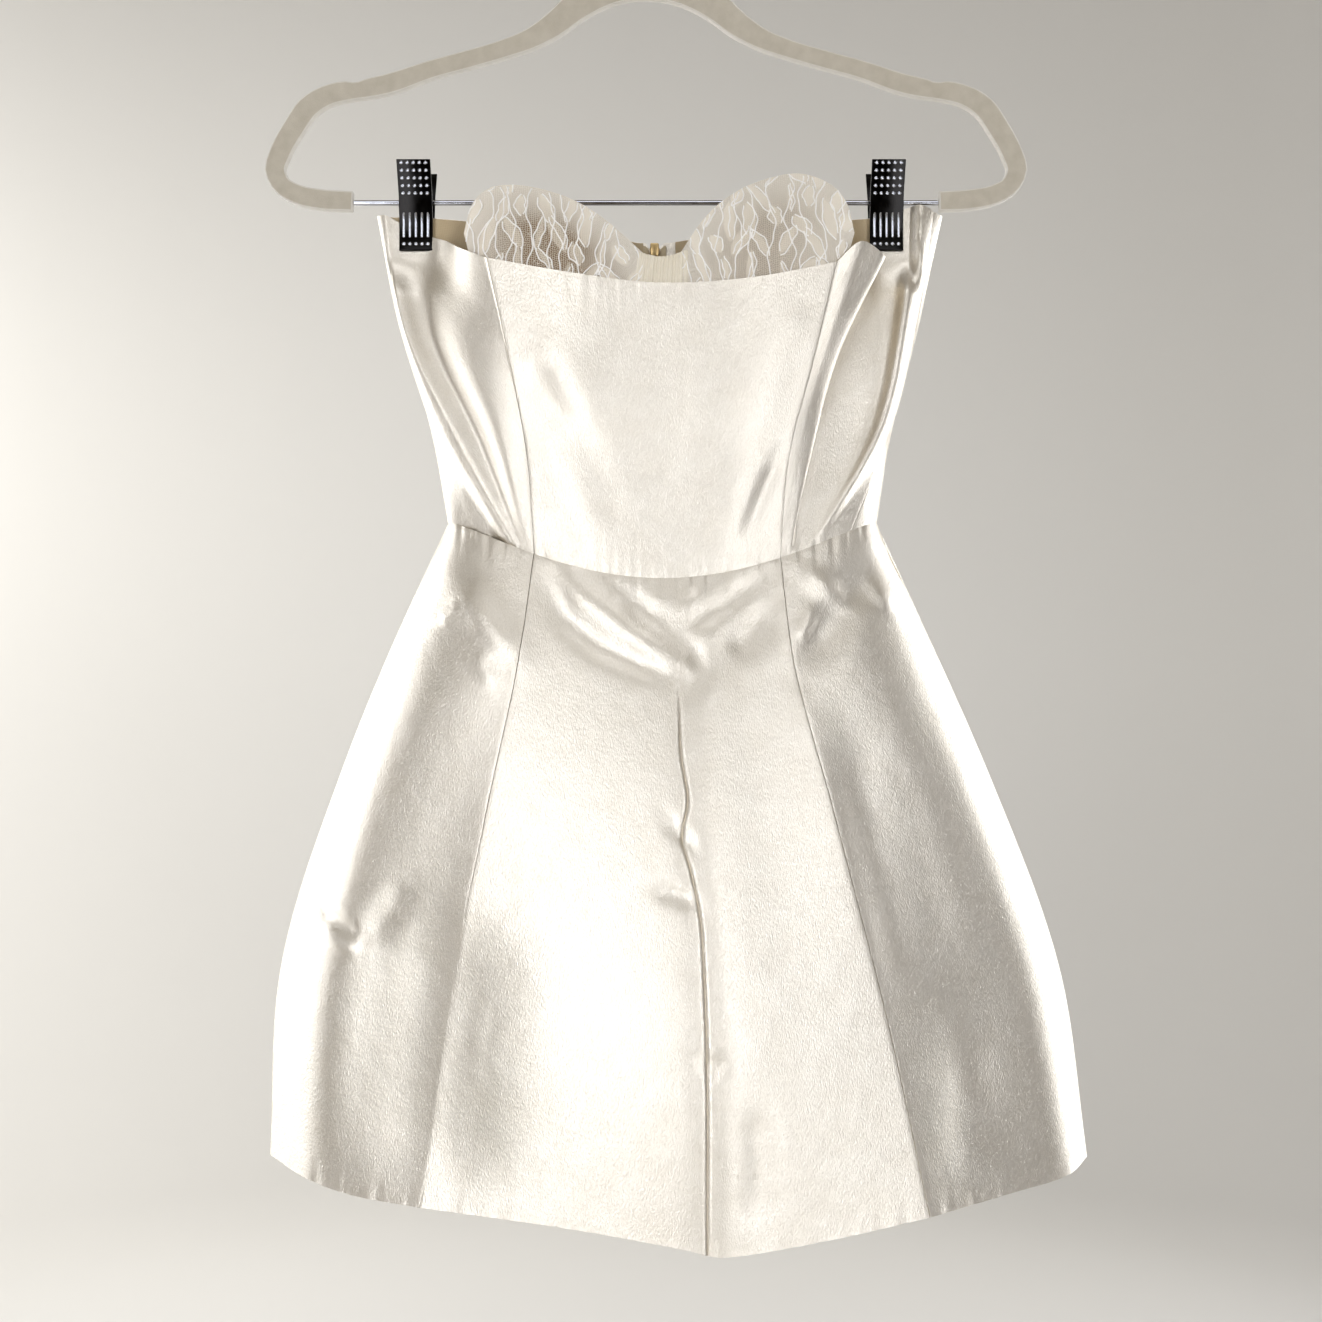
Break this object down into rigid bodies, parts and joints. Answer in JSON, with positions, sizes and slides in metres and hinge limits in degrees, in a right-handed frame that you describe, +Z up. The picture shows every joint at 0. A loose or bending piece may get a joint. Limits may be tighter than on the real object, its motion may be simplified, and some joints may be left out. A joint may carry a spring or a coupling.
{
  "type": "strapless dress on a clip hanger",
  "caption": "Strapless mini dress in stiff satin with lace cups, a dipped waist seam and a flared skirt, clipped by its sides to a velvet hanger with a rod.",
  "frame": {"origin": "inner top of the hanger's hook, where a rail holds it", "axes": "+Z up, the front of the dress faces -Y, +X is to the right as seen from the front"},
  "size_m": [0.4812, 0.112, 0.814],
  "materials": {
    "ivory_satin": "heavy duchess satin, soft sheen",
    "beige_lining": "matt lining",
    "lace_on_foam": "corded lace over a padded cup",
    "cream_satin": "ruched satin",
    "zip_tape": "woven tape",
    "zip_metal": "ivory enamel",
    "greige_velvet": "velvet flock",
    "chrome_wire": "bright chrome",
    "dark_chrome": "black chrome"
  },
  "bodies": {
    "dress": {"bodice_center_front": "ivory_satin", "bodice_side_front_left": "ivory_satin", "bodice_side_front_right": "ivory_satin", "bodice_back_left": "ivory_satin", "bodice_back_right": "ivory_satin", "lining_back_left": "beige_lining", "lining_back_right": "beige_lining", "cup_left": "lace_on_foam", "cup_right": "lace_on_foam", "cup_bridge": "cream_satin", "skirt_center_front": "ivory_satin", "skirt_side_front_left": "ivory_satin", "skirt_side_front_right": "ivory_satin", "skirt_back_left": "ivory_satin", "skirt_back_right": "ivory_satin", "zip": "zip_tape", "zip_slider": "zip_metal", "hanger_body": "greige_velvet", "hanger_hook": "chrome_wire", "hanger_rod": "chrome_wire", "clip_left_front": "dark_chrome", "clip_left_back": "dark_chrome", "clip_left_spring": "chrome_wire", "clip_right_front": "dark_chrome", "clip_right_back": "dark_chrome", "clip_right_spring": "chrome_wire"},
    "zip_pull": {"zip_pull": "zip_metal"}
  },
  "joints": [
    {"name": "zip_pull_swing", "type": "hinge", "parent": "dress", "child": "zip_pull", "pos_m": [0.005, 0.0109, -0.2528], "axis": [1, 0, 0], "range_deg": [0, 150]}
  ]
}
